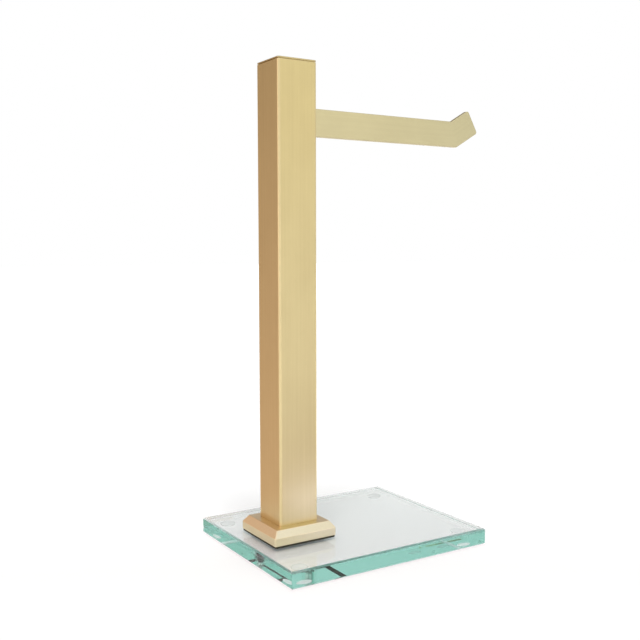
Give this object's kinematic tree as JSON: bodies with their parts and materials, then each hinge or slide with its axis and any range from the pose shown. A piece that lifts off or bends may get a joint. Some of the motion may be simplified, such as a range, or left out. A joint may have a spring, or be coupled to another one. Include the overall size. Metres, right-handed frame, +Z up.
{
  "type": "countertop towel stand",
  "caption": "Countertop towel stand: a square metal post on a chamfered flange clamped through a glass plate, with a flat side arm turned up at its tip to hold a towel.",
  "frame": {"origin": "on the countertop plane, at the centre of the stand's outline seen from above", "axes": "+Z up along the post, +X along the towel arm towards its turned-up tip, +Y across the glass plate"},
  "size_m": [0.1782, 0.1142, 0.2943],
  "materials": {
    "satin_gold": "satin champagne gold with a fine brushed grain",
    "raw_brass": "machined, unplated",
    "clear_glass": "polished clear float glass, green at the edges",
    "clear_bumper": "clear soft polyurethane",
    "black_rubber": "matt black",
    "white_nylon": "natural nylon",
    "plated_steel": "bright zinc plate"
  },
  "bodies": {
    "root": {"glass_base": "clear_glass", "foot_front_left": "clear_bumper", "foot_front_right": "clear_bumper", "foot_back_left": "clear_bumper", "foot_back_right": "clear_bumper", "glass_bush": "white_nylon", "clamp_screw": "plated_steel", "flange_gasket": "black_rubber", "base_flange": "satin_gold", "foot_plug": "raw_brass", "post_tube": "satin_gold", "towel_arm": "satin_gold", "arm_block": "raw_brass", "arm_set_screws": "plated_steel", "cap_insert": "white_nylon", "top_cap": "satin_gold"}
  },
  "joints": []
}
